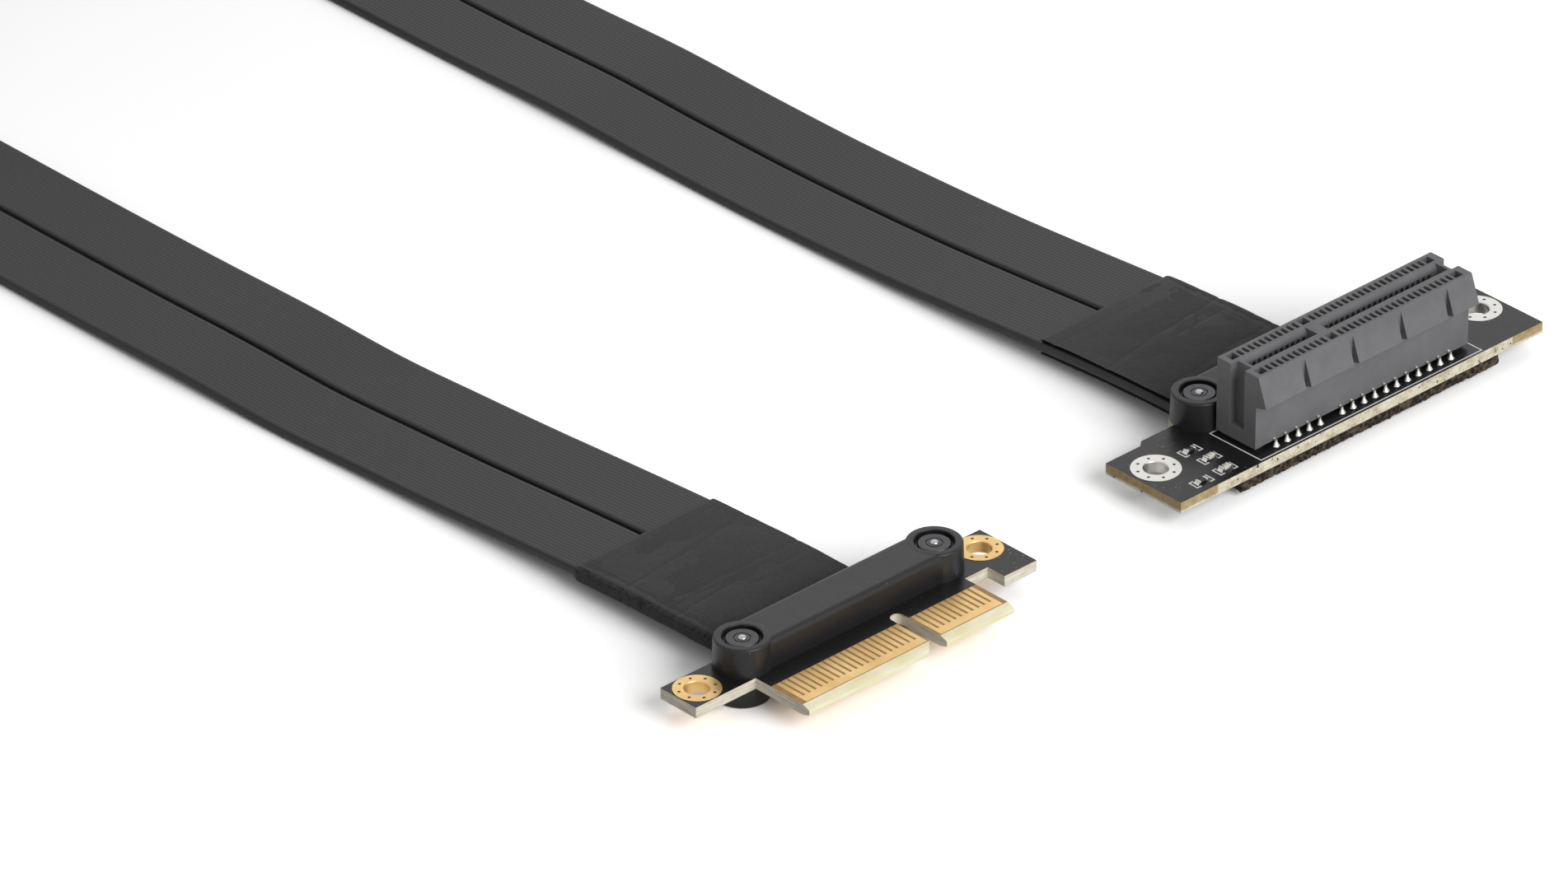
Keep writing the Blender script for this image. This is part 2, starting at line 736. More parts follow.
def sweep(name, frames, sectionAt, looksUsed):
    # a closed section carried along frames, mapped by length and by distance round the section
    draft = bmesh.new()
    uvMap = draft.loops.layers.uv.new("alongAndAcross")
    rings, marks = [], []
    for along, centre, width, rise in frames:
        section = sectionAt(along)
        rings.append([draft.verts.new(centre + width * a + rise * b) for a, b in section])
        round_ = [0.0]
        for p, q in zip(section, section[1:] + section[:1]):
            round_.append(round_[-1] + math.dist(p, q))
        marks.append([(along * mm, place * mm) for place in round_])
    count = len(rings[0])
    for i in range(len(rings) - 1):
        for j in range(count):
            k = (j + 1) % count
            face = draft.faces.new((rings[i][j], rings[i][k], rings[i + 1][k], rings[i + 1][j]))
            places = (marks[i][j], marks[i][j + 1], marks[i + 1][j + 1], marks[i + 1][j])
            for loop, place in zip(face.loops, places):
                loop[uvMap].uv = place
    draft.faces.new(rings[0][::-1])
    draft.faces.new(rings[-1])
    bmesh.ops.recalc_face_normals(draft, faces=draft.faces)
    mesh = bpy.data.meshes.new(name)
    draft.to_mesh(mesh)
    draft.free()
    mesh.transform(Matrix.Scale(mm, 4))
    for finish in looksUsed:
        mesh.materials.append(finish)
    return placeMesh(name, mesh)


ribbonSettings = {
    "ribs": 18,
    "ribHeight": 0.035,
    "stepsPerRib": 4,
    "edgeRadius": 0.45,
    "edgeSteps": 5,
    "stations": 300,
}


def ribbonSection(settings):
    # flat faces with shallow lengthwise ribs and rounded edges
    half = cableSettings["ribbonWidth"] / 2
    rise = cableSettings["ribbonThickness"] / 2
    radius = settings["edgeRadius"]
    flatHalf = half - radius
    count = settings["ribs"] * settings["stepsPerRib"]

    def face(level, start, end):
        points = []
        for i in range(count + 1):
            a = start + (end - start) * i / count
            rib = abs(math.sin(math.pi * settings["ribs"] * i / count)) - 1
            points.append((a, level + math.copysign(settings["ribHeight"], level) * rib))
        return points

    section = face(-rise, -flatHalf, flatHalf)
    section += roundCorner((flatHalf, -rise + radius), radius, -90, 0, settings["edgeSteps"])[1:]
    section += roundCorner((flatHalf, rise - radius), radius, 0, 90, settings["edgeSteps"])[:-1]
    section += face(rise, flatHalf, -flatHalf)
    section += roundCorner((-flatHalf, rise - radius), radius, 90, 180, settings["edgeSteps"])[1:]
    section += roundCorner((-flatHalf, -rise + radius), radius, 180, 270, settings["edgeSteps"])[:-1]
    return section


def makeRibbon(name, side):
    sideways = side * (cableSettings["ribbonWidth"] + cableSettings["slitWidth"]) / 2
    frames = lineAlong(sideways, 0, cableRoute.length, ribbonSettings["stations"])
    section = ribbonSection(ribbonSettings)
    ribbon = sweep(name, frames, lambda along: section, [looks["ribbon"]])
    smoothShade(ribbon, 60)
    path = [centre * mm for _, centre, _, _ in frames[::2]] + [frames[-1][1] * mm]
    length = sum((q - p).length for p, q in zip(path, path[1:]))
    return ribbon, path, length


ribbonSides = (("outerRibbon", 1, "outer_ribbon"), ("innerRibbon", -1, "inner_ribbon"))
for ribbonName, ribbonSide, ribbonNode in ribbonSides:
    ribbon, ribbonPath, ribbonLength = makeRibbon(ribbonName, ribbonSide)
    finishPiece(ribbon, "ribbon_jacket", ribbonNode)
    print("stage:", ribbonName, round(ribbonLength, 4))

tapeSettings = {
    "edge": {"start": 1.2, "length": 27.6, "node": "edge_tape"},
    "slot": {"start": 1.2, "length": 24.7, "node": "slot_tape"},
    "clearance": 0.12,
    "thickness": 0.36,
    "radius": 0.8,
    "cornerSteps": 8,
    "faceSteps": 60,
    "stepLength": 0.25,
    "foldPitch": 0.55,
    "folds": 4,
    "foldDepth": 0.07,
    "seamEvery": 9.5,
    "seamStart": 1.2,
    "seamHalf": 0.5,
    "seamLean": 0.12,
    "seamDepth": 0.07,
    "wander": 0.07,
    "broadWander": 0.22,
    "fineWander": 1.1,
    "fineShare": 0.35,
    "endRoll": 0.5,
    "rollShare": 0.45,
}


def tapeSection(settings, along, length, seed):
    pairWidth = cableSettings["ribbonWidth"] * 2 + cableSettings["slitWidth"]
    half = pairWidth / 2 + settings["clearance"] + settings["thickness"]
    rise = cableSettings["ribbonThickness"] / 2 + settings["clearance"] + settings["thickness"]
    radius = min(settings["radius"], rise)
    steps = settings["faceSteps"]
    outline = []
    for level, start in ((-1, -1), (1, 1)):
        for i in range(steps + 1):
            a = start * (-1 + 2 * i / steps) * (half - radius) * -level * -1
            outline.append((a, level * rise, 0, level))
        centre = (outline[-1][0], level * (rise - radius))
        side = 1 if outline[-1][0] > 0 else -1
        for i in range(1, settings["cornerSteps"]):
            turn = math.pi / 2 * i / settings["cornerSteps"]
            n = (side * math.sin(turn), level * math.cos(turn))
            outline.append((centre[0] + radius * n[0], centre[1] + radius * n[1], *n))
        outline.append((side * half, 0, side, 0))
        for i in range(settings["cornerSteps"] - 1, 0, -1):
            turn = math.pi / 2 * i / settings["cornerSteps"]
            n = (side * math.sin(turn), -level * math.cos(turn))
            outline.append((centre[0] + radius * n[0], -level * (rise - radius) + radius * n[1], *n))
    section = []
    for a, b, na, nb in outline:
        broad, fine = settings["broadWander"], settings["fineWander"]
        wander = noise.noise(Vector((along * broad, a * broad, b * 0.5 + seed))) * settings["wander"]
        waviness = noise.noise(Vector((along * fine, a * fine, b + seed)))
        wander += waviness * settings["wander"] * settings["fineShare"]
        inward = abs(a) - (half - settings["foldPitch"] * settings["folds"] - radius)
        fold = 0.0
        if inward > 0:
            fold = -settings["foldDepth"] * (inward / settings["foldPitch"] % 1.0)
        fromSeam = (along + settings["seamLean"] * a) % settings["seamEvery"] - settings["seamStart"]
        seam = -settings["seamDepth"] * max(0.0, 1 - abs(fromSeam) / settings["seamHalf"])
        nearEnd = max(0.0, 1 - min(along, length - along) / settings["endRoll"])
        roll = -settings["thickness"] * settings["rollShare"] * nearEnd ** 2
        move = wander + fold + seam + roll
        section.append((a + na * move, b + nb * move))
    return section


def makeTape(name, fromEdge, settings, seed):
    length = settings["length"]
    start = settings["start"] if fromEdge else cableRoute.length - settings["start"] - length
    count = int(length / tapeSettings["stepLength"]) + 1
    frames = lineAlong(0, start, start + length, count)

    def sectionAt(along):
        return tapeSection(tapeSettings, along - start, length, seed)

    tape = sweep(name, frames, sectionAt, [looks["tape"]])
    smoothShade(tape, 50)
    return finishPiece(tape, "cloth_tape", settings["node"])


edgeTape = makeTape("edgeTape", True, tapeSettings["edge"], 3.1)
slotTape = makeTape("slotTape", False, tapeSettings["slot"], 8.4)
print("stage: cable laid")


# the card-edge board

edgeBoardSettings = {
    "longTab": 21.65, "shortTab": 11.65, "key": 1.9, "keyDepth": 8.8, "keySteps": 16,
    "leftEarSetback": 9.6, "leftEarWidth": 10.1, "back": 16.0,
    "shoulderSetback": 8.8, "shoulderWidth": 4.0, "rightEarSetback": 5.8, "rightEarWidth": 5.6,
    "bevelLength": 1.2, "bevelDepth": 0.4, "keyChamfer": 1.2,
    "rings": ((-12.8, -6.9), (-12.8, 41.6)), "rivets": ((-13.2, 1.1), (-13.2, 34.1)),
    "ringBore": 3.46, "rivetBore": 2.3, "boreSteps": 48,
    "maskFront": 6.9, "maskInset": 0.03, "edgeEase": 0.05,
}


def edgeOutline(settings, tabFront, inset):
    # seen from above, from the back left corner round the front to the back right one
    keyStart = settings["longTab"]
    keyEnd = keyStart + settings["key"]
    tab = keyEnd + settings["shortTab"]
    shoulderEnd = tab + settings["shoulderWidth"]
    end = shoulderEnd + settings["rightEarWidth"]
    keyMiddle = keyStart + settings["key"] / 2
    keyRound = -(settings["keyDepth"] - settings["key"] / 2)
    arc = roundCorner((keyRound, keyMiddle), settings["key"] / 2 + inset, 270, 90, settings["keySteps"])
    front = -tabFront
    chamfer = 0 if tabFront else settings["keyChamfer"]
    keyCorner = [(front, keyStart - inset - chamfer), (front - chamfer, keyStart - inset)]
    return [
        (-settings["back"], -settings["leftEarWidth"] + inset),
        (-settings["leftEarSetback"] - inset, -settings["leftEarWidth"] + inset),
        (-settings["leftEarSetback"] - inset, inset),
        (front, inset),
        *(keyCorner if chamfer else keyCorner[:1]),
        *arc,
        (front, keyEnd + inset),
        (front, tab - inset),
        (-settings["shoulderSetback"] - inset, tab - inset),
        (-settings["shoulderSetback"] - inset, shoulderEnd + inset),
        (-settings["rightEarSetback"] - inset, shoulderEnd + inset),
        (-settings["rightEarSetback"] - inset, end - inset),
        (-settings["back"], end - inset),
    ]


def shifted(points, corner):
    return [(x + corner.x, y + corner.y) for x, y in points]


def boardHoles(settings, corner):
    return [
        shifted(circle(centre, settings[bore] / 2, settings["boreSteps"]), corner)
        for places, bore in (("rings", "ringBore"), ("rivets", "rivetBore"))
        for centre in settings[places]
    ]


def maskSheets(name, outline, holes):
    # the mask on both faces of a board
    sheets = bmesh.new()
    depth, bottom, top = boardSizes["maskDepth"], boardSizes["bottom"], boardSizes["top"]
    addPrism(sheets, outline, holes, top - depth, top)
    addPrism(sheets, outline, holes, bottom, bottom + depth)
    mask = placeMesh(name, toMesh(sheets, name))
    mask.data.materials.append(looks["mask"])
    return mask


def paintBoard(mesh, finishOf):
    for face in mesh.polygons:
        face.material_index = finishOf(face.normal, face.center / mm)


def makeEdgeBoard(settings):
    depth = boardSizes["maskDepth"]
    bottom, top = boardSizes["bottom"], boardSizes["top"]
    holes = boardHoles(settings, edgeTip)
    draft = bmesh.new()
    addPrism(draft, shifted(edgeOutline(settings, 0, 0), edgeTip), holes, bottom + depth, top - depth)
    core = placeMesh("edgeBoardCore", toMesh(draft, "edgeBoardCore"))
    wedges = bmesh.new()
    reach, drop = settings["bevelLength"], settings["bevelDepth"]
    y0, y1 = edgeTip.y - 1, edgeTip.y + settings["longTab"] + settings["key"] + settings["shortTab"] + 1
    for level, up in ((top - depth, 1), (bottom + depth, -1)):
        section = [
            (edgeTip.x - reach, level),
            (edgeTip.x + reach, level - up * 2 * drop),
            (edgeTip.x + reach, level + up),
            (edgeTip.x - reach, level + up),
        ]
        addBar(wedges, section if up > 0 else section[::-1], y0, y1)
    combine(core, placeMesh("noseCutter", toMesh(wedges, "noseCutter")), "DIFFERENCE")
    for finish in ("laminate", "bare", "bevel"):
        core.data.materials.append(looks[finish])

    def coreFinish(normal, centre):
        if abs(normal.z) > 0.99:
            return 1
        if abs(normal.z) > 0.5 or (normal.x > 0.9 and centre.x > edgeTip.x - 0.01):
            return 2
        return 0

    paintBoard(core.data, coreFinish)
    easeEdges(core, settings["edgeEase"])
    outline = shifted(edgeOutline(settings, settings["maskFront"], settings["maskInset"]), edgeTip)
    mask = maskSheets("edgeBoardMask", outline, holes)
    return finishPiece(join(core, mask), "board_mask", "edge_board")


edgeBoard = makeEdgeBoard(edgeBoardSettings)
edgeBoard.name = "edgeBoard"

fingerSettings = {
    "pitch": 1.0, "width": 0.66, "back": 6.8, "front": 1.3, "barLength": 1.3, "rise": 0.06, "ease": 0.03,
    "groups": (
        ("LongTop", 1.1, 21, 1, "edge_long_fingers_top"),
        ("ShortTop", 24.1, 11, 1, "edge_short_fingers_top"),
        ("LongUnder", 1.1, 21, -1, "edge_long_fingers_under"),
        ("ShortUnder", 24.1, 11, -1, "edge_short_fingers_under"),
    ),
}


def makeFingers(settings):
    depth = boardSizes["maskDepth"]
    for label, firstCentre, count, up, node in settings["groups"]:
        span = (count - 1) * settings["pitch"] + settings["width"]
        first = edgeTip.y + firstCentre - settings["width"] / 2
        level = boardSizes["top"] - depth if up > 0 else boardSizes["bottom"] + depth
        z0, z1 = sorted((level, level + up * settings["rise"]))
        back, front = edgeTip.x - settings["back"], edgeTip.x - settings["front"]
        one = bmesh.new()
        half = settings["width"] / 2
        addBox(one, (back, -half, z0), (front - settings["barLength"] / 2, half, z1))
        pattern = placeMesh("oneFinger", toMesh(one, "oneFinger"))
        fingers = grow("edgeFingers" + label, rowTree, {
            "Pattern": pattern, "Count": count, "Start": toMetres(0, first + half, 0),
            "Step": toMetres(0, settings["pitch"], 0), "Finish": looks["gold"],
        })
        bar = bmesh.new()
        addBox(bar, (front - settings["barLength"], first, z0), (front, first + span, z1))
        strip = placeMesh("goldStrip", toMesh(bar, "goldStrip"))
        strip.data.materials.append(looks["gold"])
        combine(fingers, strip, "UNION")
        easeEdges(fingers, settings["ease"], 1)
        discard(pattern)
        finishPiece(fingers, "gold_plating", node)


makeFingers(fingerSettings)
print("stage: card edge made")


# plated rings

ringSettings = {
    "bore": 1.6, "boreEase": 0.12, "plating": 0.08, "rise": 0.05, "steps": 96,
    "vias": 8, "viaRadius": 0.22, "viaSteps": 12,
    "rings": (
        ("edgeLeftRing", edgeTip, (-12.8, -6.9), 3.1, "gold", "gold_plating", "edge_left_ring"),
        ("edgeRightRing", edgeTip, (-12.8, 41.6), 3.1, "gold", "gold_plating", "edge_right_ring"),
        ("slotLeftRing", slotCorner, (-8.2, 3.7), 3.3, "tin", "tin_plating", "slot_left_ring"),
        ("slotRightRing", slotCorner, (-8.2, 62.5), 3.3, "tin", "tin_plating", "slot_right_ring"),
    ),
}


def makeRings(settings):
    bottom, top, rise = boardSizes["bottom"], boardSizes["top"], settings["rise"]
    for name, corner, place, rim, finish, slotName, node in settings["rings"]:
        centre = (corner.x + place[0], corner.y + place[1])
        bore, barrel = settings["bore"], settings["bore"] + settings["plating"]
        draft = bmesh.new()
        ease = settings["boreEase"]
        addTurned(draft, [
            (bore, bottom - rise + ease), (bore + ease, bottom - rise), (rim, bottom - rise), (rim, bottom),
            (barrel, bottom), (barrel, top), (rim, top), (rim, top + rise), (bore + ease, top + rise),
            (bore, top + rise - ease),
        ], centre, settings["steps"], closed=True)
        ring = placeMesh(name, toMesh(draft, name))
        ring.data.materials.append(looks[finish])
        one = bmesh.new()
        addTurned(one, [
            (0, bottom - 2 * rise), (settings["viaRadius"], bottom - 2 * rise),
            (settings["viaRadius"], top + 2 * rise), (0, top + 2 * rise),
        ], (0, 0), settings["viaSteps"])
        pattern = placeMesh("oneVia", toMesh(one, "oneVia"))
        values = {
            "Pattern": pattern, "Count": settings["vias"], "Centre": toMetres(*centre, 0),
            "Radius": (barrel + rim) / 2 * mm, "Start Angle": math.pi / settings["vias"],
            "Finish": looks["via"],
        }
        combine(ring, grow("viaCutter", ringTree, values), "DIFFERENCE")
        smoothShade(ring, 30)
        discard(pattern)
        finishPiece(ring, slotName, node)


makeRings(ringSettings)


# clamps: two shells and two rivets at each end

clampSettings = {
    "radius": 3.8, "draft": 0.12, "barInset": 0.5, "barDrop": 0.02, "seamRadius": 3.2,
    "barRound": 0.85, "roundSteps": 8, "upperHeight": 4.1, "bossRound": 0.32, "bossSteps": 6, "steps": 96,
    "recessRadius": 2.6, "recessDepth": 0.75, "rimRound": 0.12, "boreRadius": 1.15,
    "ends": (("edge", edgeTip, (-13.2, 1.1)), ("slot", slotCorner, (-13.4, 16.6))),
    "spacing": 33.0,
    "headRadius": 2.15, "headHeight": 0.45, "headRound": 0.1,
    "grooveRadius": 1.07, "grooveHalf": 0.07, "grooveDepth": 0.16,
    "domeRadius": 0.58, "domeHeight": 0.3, "shankRadius": 0.95,
}


def makeShell(name, centres, seat, end, settings, node):
    up = 1 if end > seat else -1
    steps = settings["roundSteps"]
    half = settings["radius"] - settings["barInset"]
    x = centres[0][0]
    soft = settings["barRound"]
    low = end - up * (settings["barDrop"] + soft)
    arc = roundCorner((0, 0), soft, 0, 90, steps)
    section = [(x - half, seat), (x + half, seat)]
    section += [(x + half - soft + across, low + up * high) for across, high in arc]
    section += [(x - half + soft - across, low + up * high) for across, high in arc[::-1]]
    bar = bmesh.new()
    addBar(bar, section, centres[0][1], centres[1][1])
    shell = placeMesh(name, toMesh(bar, name))
    for centre in centres:
        room, seam = bmesh.new(), settings["seamRadius"]
        profile = [(0, seat - up), (seam, seat - up), (seam, end + up), (0, end + up)]
        addTurned(room, profile, centre, settings["steps"])
        combine(shell, placeMesh("room", toMesh(room, "room")), "DIFFERENCE")
    shell.data.materials.clear()
    shell.data.materials.append(looks["clamp"])
    turns, radius, soft = settings["bossSteps"], settings["radius"], settings["bossRound"]
    crown = radius - settings["draft"] - soft
    floor, rim, wide = end - up * settings["recessDepth"], settings["rimRound"], settings["recessRadius"]
    arc = roundCorner((0, 0), soft, 0, 90, turns)
    profile = [(settings["boreRadius"], seat), (radius, seat)]
    profile += [(crown + across, end - up * (soft - high)) for across, high in arc]
    profile += [(wide + rim, end), (wide, end - up * rim), (wide, floor), (settings["boreRadius"], floor)]
    ring = bmesh.new()
    for centre in centres:
        addTurned(ring, profile, centre, settings["steps"], closed=True)
    bosses = placeMesh("bosses", toMesh(ring, "bosses"))
    bosses.data.materials.append(looks["clamp"])
    shell = join(shell, bosses)
    smoothShade(shell, 32)
    finishPiece(shell, "clamp_plastic", node)


def rivetHead(level, up, settings):
    # from the shank outwards and over the head to its domed pin
    head, rise = settings["headRadius"], settings["headHeight"]
    top = level + up * rise
    groove, side = settings["grooveRadius"], settings["grooveHalf"]
    soft, deep = settings["headRound"], top - up * settings["grooveDepth"]
    return [
        (settings["shankRadius"], level), (head, level), (head, top - up * soft), (head - soft, top),
        (groove + side, top), (groove + side, deep), (groove - side, deep), (groove - side, top),
    ]


def makeRivet(name, centre, settings, node):
    draft = bmesh.new()
    upper = boardSizes["top"] + settings["upperHeight"] - settings["recessDepth"]
    lower = settings["recessDepth"]
    steps = settings["bossSteps"]
    profile, pins = [], []
    for level, up in ((lower, -1), (upper, 1)):
        head = rivetHead(level, up, settings)
        base = head[-1][1]
        pins.append((base, up))
        half = [*head, (0, base)]
        profile += half if up > 0 else half[::-1]
    addTurned(draft, profile, centre, settings["steps"] // 2)
    rivet = placeMesh(name, toMesh(draft, name))
    rivet.data.materials.append(looks["rivet"])
    dome = bmesh.new()
    for base, up in pins:
        addTurned(dome, [(0, base - up * 0.05), (settings["domeRadius"], base - up * 0.05)] + [
            (
                settings["domeRadius"] * math.cos(math.pi / 2 * i / steps),
                base + up * settings["domeHeight"] * math.sin(math.pi / 2 * i / steps),
            )
            for i in range(steps + 1)
        ], centre, settings["steps"] // 2)
    pin = placeMesh("pin", toMesh(dome, "pin"))
    pin.data.materials.append(looks["pin"])
    rivet = join(rivet, pin)
    smoothShade(rivet, 40)
    finishPiece(rivet, "rivet_metal", node)


def makeClamps(settings):
    for end, corner, place in settings["ends"]:
        first = (corner.x + place[0], corner.y + place[1])
        centres = (first, (first[0], first[1] + settings["spacing"]))
        bottom, top = boardSizes["bottom"], boardSizes["top"]
        outer = top + settings["upperHeight"]
        makeShell(end + "UpperShell", centres, top, outer, settings, end + "_upper_clamp_shell")
        makeShell(end + "LowerShell", centres, bottom, 0, settings, end + "_lower_clamp_shell")
        for side, centre in zip(("Left", "Right"), centres):
            makeRivet(end + side + "Rivet", centre, settings, f"{end}_{side.lower()}_rivet")


makeClamps(clampSettings)
print("stage: clamps made")


# the slot board

slotBoardSettings = {
    "length": 66.2, "earDepth": 13.5, "stepDepth": 0.8, "stepStart": 6.2, "stepRun": 0.9, "clampStart": 13.1,
    "back": 16.2, "rings": ((-8.2, 3.7), (-8.2, 62.5)), "rivets": ((-13.4, 16.6), (-13.4, 49.6)),
    "ringBore": 3.46, "rivetBore": 2.3, "boreSteps": 48, "maskInset": 0.03, "edgeEase": 0.05,
}


def slotOutline(settings, inset):
    step = settings["earDepth"] + settings["stepDepth"]
    half = [
        (-settings["earDepth"] + inset, inset),
        (-settings["earDepth"] + inset, settings["stepStart"]),
        (-step + inset, settings["stepStart"] + settings["stepRun"]),
        (-step + inset, settings["clampStart"]),
        (-settings["back"], settings["clampStart"] + settings["stepRun"]),
    ]
    other = [(x, settings["length"] - y) for x, y in half]
    return [(-inset, inset), (-inset, settings["length"] - inset), *other, *half[::-1]]


def makeSlotBoard(settings):
    depth = boardSizes["maskDepth"]
    bottom, top = boardSizes["bottom"], boardSizes["top"]
    holes = boardHoles(settings, slotCorner)
    draft = bmesh.new()
    addPrism(draft, shifted(slotOutline(settings, 0), slotCorner), holes, bottom + depth, top - depth)
    core = placeMesh("slotBoard", toMesh(draft, "slotBoard"))
    core.data.materials.append(looks["slotEdge"])
    easeEdges(core, settings["edgeEase"])
    outline = shifted(slotOutline(settings, settings["maskInset"]), slotCorner)
    mask = maskSheets("slotBoardMask", outline, holes)
    return finishPiece(join(core, mask), "board_mask", "slot_board")


makeSlotBoard(slotBoardSettings)

inkSettings = {
    "line": 0.2, "rise": 0.012, "sink": 0.01,
    "frame": (-0.42, 14.8, -9.6, 55.2),
    "chips": ((-8.3, 9.9), (-5.3, 10.4), (-2.1, 10.0), (-1.9, 5.6)),
    "bracketLength": 3.0, "bracketWidth": 1.5, "bracketArm": 0.62,
}


def addInkLine(draft, start, end, settings):
    half, level = settings["line"] / 2, boardSizes["top"]
    (x0, x1), (y0, y1) = (sorted(pair) for pair in zip(start, end))
    low = (x0 - half + slotCorner.x, y0 - half + slotCorner.y, level - settings["sink"])
    addBox(draft, low, (x1 + half + slotCorner.x, y1 + half + slotCorner.y, level + settings["rise"]))


def makeInk(settings):
    draft = bmesh.new()
    x0, y0, x1, y1 = settings["frame"]
    for start, end in (((x0, y0), (x0, y1)), ((x1, y0), (x1, y1))):
        addInkLine(draft, start, end, settings)
    inner = settings["line"] * 0.999
    for y in (y0, y1):
        addInkLine(draft, (x1 + inner, y), (x0 - inner, y), settings)
    for x, y in settings["chips"]:
        for side in (-1, 1):
            end = y + side * settings["bracketLength"] / 2
            half = settings["bracketWidth"] / 2
            addInkLine(draft, (x - half, end), (x + half, end), settings)
            for edge in (-half, half):
                near = end - side * settings["line"] * 0.999
                addInkLine(draft, (x + edge, near), (x + edge, end - side * settings["bracketArm"]), settings)
    ink = placeMesh("slotBoardInk", toMesh(draft, "slotBoardInk"))
    ink.data.materials.append(looks["ink"])
    finishPiece(ink, "lamp_body")


makeInk(inkSettings)

chipSettings = {
    "length": 1.6, "width": 0.85, "terminal": 0.36, "step": 0.04, "ease": 0.05,
    "bodyInset": 0.1, "bodyLift": 0.03,
    "fillet": 0.3, "filletSide": 0.1, "filletBite": 0.06, "filletSink": 0.01, "filletHeight": 0.8,
    "chips": (
        ("slotUpperResistor", (-8.3, 9.9), 0.45, "chipBody", "chip_body", "slot_upper_resistor"),
        ("slotLowerResistor", (-1.9, 5.6), 0.45, "chipBody", "chip_body", "slot_lower_resistor"),
        ("slotUpperLamp", (-5.3, 10.4), 0.6, "lampBody", "lamp_body", "slot_upper_lamp"),
        ("slotLowerLamp", (-2.1, 10.0), 0.6, "lampBody", "lamp_body", "slot_lower_lamp"),
    ),
}


def makeBodyAndCaps(name, place, height, finish, settings):
    x, y, top = *place, boardSizes["top"]
    side, half, step = settings["width"] / 2, settings["length"] / 2, settings["step"]
    body, long = bmesh.new(), half - settings["bodyInset"]
    low = (x - side + step, y - long, top + settings["bodyLift"])
    addBox(body, low, (x + side - step, y + long, top + height - step))
    chip = placeMesh(name, toMesh(body, name))
    chip.data.materials.append(looks[finish])
    easeEdges(chip, settings["ease"])
    ends = bmesh.new()
    for turn in (-1, 1):
        y0, y1 = sorted((y + turn * half, y + turn * (half - settings["terminal"])))
        addBox(ends, (x - side, y0, top), (x + side, y1, top + height))
    caps = placeMesh("caps", toMesh(ends, "caps"))
    caps.data.materials.append(looks["tin"])
    easeEdges(caps, settings["ease"])
    return chip, caps


def makeFillets(place, height, settings):
    # solder that climbs both ends of a chip
    x, y, top = *place, boardSizes["top"]
    side, half, reach = settings["width"] / 2, settings["length"] / 2, settings["fillet"]
    level, bite = top - settings["filletSink"], x - side + settings["filletBite"]
    solder = bmesh.new()
    for turn in (-1, 1):
        foot, wall = y + turn * (half + reach), y + turn * (half - 0.02)
        near = [solder.verts.new(corner) for corner in (
            (x - side - settings["filletSide"], foot, level), (bite, wall, level),
            (bite, wall, top + height * settings["filletHeight"]),
            (x - side, foot - turn * reach * 0.7, top + height * 0.25),
        )]
        far = [solder.verts.new((2 * x - vertex.co.x, vertex.co.y, vertex.co.z)) for vertex in near]
        for i in range(4):
            j = (i + 1) % 4
            solder.faces.new((near[i], near[j], far[j], far[i]))
        solder.faces.new(near[::-1])
        solder.faces.new(far)
    fillets = placeMesh("fillets", toMesh(solder, "fillets"))
    fillets.data.materials.append(looks["tin"])
    return fillets


def makeChips(settings):
    for name, offset, height, finish, slotName, node in settings["chips"]:
        place = (slotCorner.x + offset[0], slotCorner.y + offset[1])
        chip, caps = makeBodyAndCaps(name, place, height, finish, settings)
        chip = join(chip, caps, makeFillets(place, height, settings))
        smoothShade(chip, 60)
        finishPiece(chip, slotName, node)


makeChips(chipSettings)
print("stage: slot board made")


# the slot housing

housingSettings = {
    "length": 39.0, "start": 15.5, "front": 1.9, "width": 7.35, "height": 11.2,
    "raise": 0.5, "baseSetback": 0.3, "notchLift": 0.5, "notchDrop": 0.2, "notchReach": 3, "footOverlap": 0.3,
    "ledgeDrop": 4.06, "ledgeReach": 1.5, "ledgeUndercut": 0.5,
    "gap": 1.75, "gapFromBack": 2.8, "gapDepth": 8.2, "endWall": 1.7, "shortLength": 11.7, "keyLength": 1.9,
    "leadBack": 0.45, "leadBackDepth": 0.7, "leadFront": 0.12, "leadFrontDepth": 0.25,
    "pocketDepth": 2.6, "pocketWidth": 1.4, "pocketLength": 0.58, "bigPocket": 1.32, "bigStep": 1.32,
    "pitch": 1.0, "rows": (0.45, 5.5), "runs": ((2.85, 11), (15.85, 21)),
    "cellLength": 0.56, "cellReach": 0.55, "cellTop": 1.05, "cellFloor": 0.4,
    "notches": (7.8, 16.5, 25.3, 33.8), "notchWidth": 0.9, "notchFloor": 0.15,
    "recessFromBack": 2.42, "recessWidth": 2.5, "recessDepth": 1.2, "recessFloor": 2.4,
    "footLength": 1.3, "footInset": 0.5, "ease": 0.07,
}


def housingRows(name, pattern, settings, finish="housing"):
    # copies of a pattern at every contact, either side of the key
    return [
        grow(name, rowTree, {
            "Pattern": pattern, "Count": count,
            "Start": toMetres(0, slotCorner.y + settings["start"] + first, 0),
            "Step": toMetres(0, settings["pitch"], 0), "Finish": looks[finish],
        })
        for first, count in settings["runs"]
    ]


